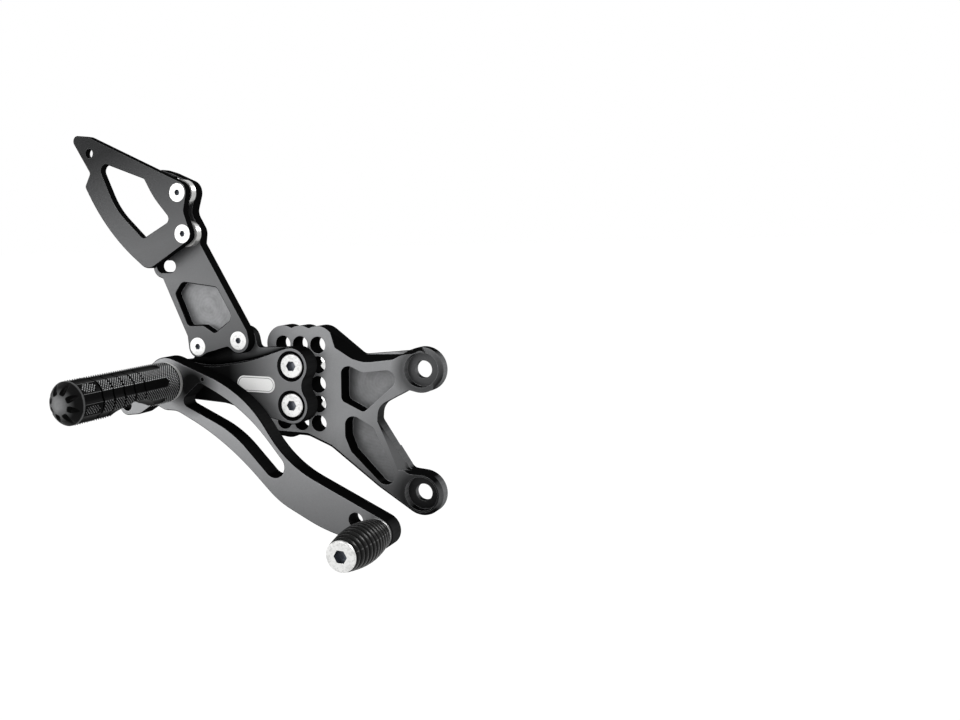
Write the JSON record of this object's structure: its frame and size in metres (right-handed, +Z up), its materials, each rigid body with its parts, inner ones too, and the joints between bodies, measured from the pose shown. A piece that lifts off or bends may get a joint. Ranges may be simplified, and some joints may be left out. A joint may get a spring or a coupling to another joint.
{
  "type": "motorcycle rear set",
  "caption": "Brake-side motorcycle rear set: adapter plate with a hole grid, stepped bracket, knurled footpeg, slotted brake pedal with a rubber toe peg, and a heel guard on a stay.",
  "frame": {"origin": "on the frame face of the adapter plate, midway between its two frame-bolt holes", "axes": "+X forward on the bike, +Y inboard into the bike's frame, square to the mounting face, +Z up"},
  "size_m": [0.2111, 0.1287, 0.218],
  "materials": {
    "black_anodised": "satin black anodised, machined",
    "black_peg": "glossy black anodised, fine diamond knurl",
    "bright_aluminium": "bright turned",
    "bright_steel": "bright zinc-plated",
    "bush_bronze": "plain turned bronze",
    "black_rubber": "moulded, matt"
  },
  "bodies": {
    "stand": {"adapter_plate": "black_anodised", "peg_bracket": "black_anodised", "main_bolt_upper": "bright_steel", "main_bolt_lower": "bright_steel", "main_nut_upper": "bright_steel", "main_nut_lower": "bright_steel", "guard_stay": "black_anodised", "stay_screw_front": "bright_steel", "stay_screw_rear": "bright_steel", "heel_guard": "black_anodised", "guard_screw_upper": "bright_steel", "guard_screw_lower": "bright_steel", "guard_spacer_upper": "bright_aluminium", "guard_spacer_lower": "bright_aluminium", "pivot_sleeve": "bright_steel", "thrust_washer": "bright_steel", "peg_washer": "bright_aluminium", "peg_bolt": "bright_steel", "footpeg_barrel": "black_peg", "footpeg_end_cap": "black_peg"},
    "pedal": {"brake_pedal": "black_anodised", "pedal_bush_inner": "bush_bronze", "pedal_bush_outer": "bush_bronze", "toe_peg_core": "bright_aluminium", "toe_peg_rubber": "black_rubber"}
  },
  "joints": [
    {"name": "pedal_hinge", "type": "hinge", "parent": "stand", "child": "pedal", "pos_m": [-0.139, -0.0295, 0.0228], "axis": [0, 1, 0], "range_deg": [0, 14]}
  ]
}
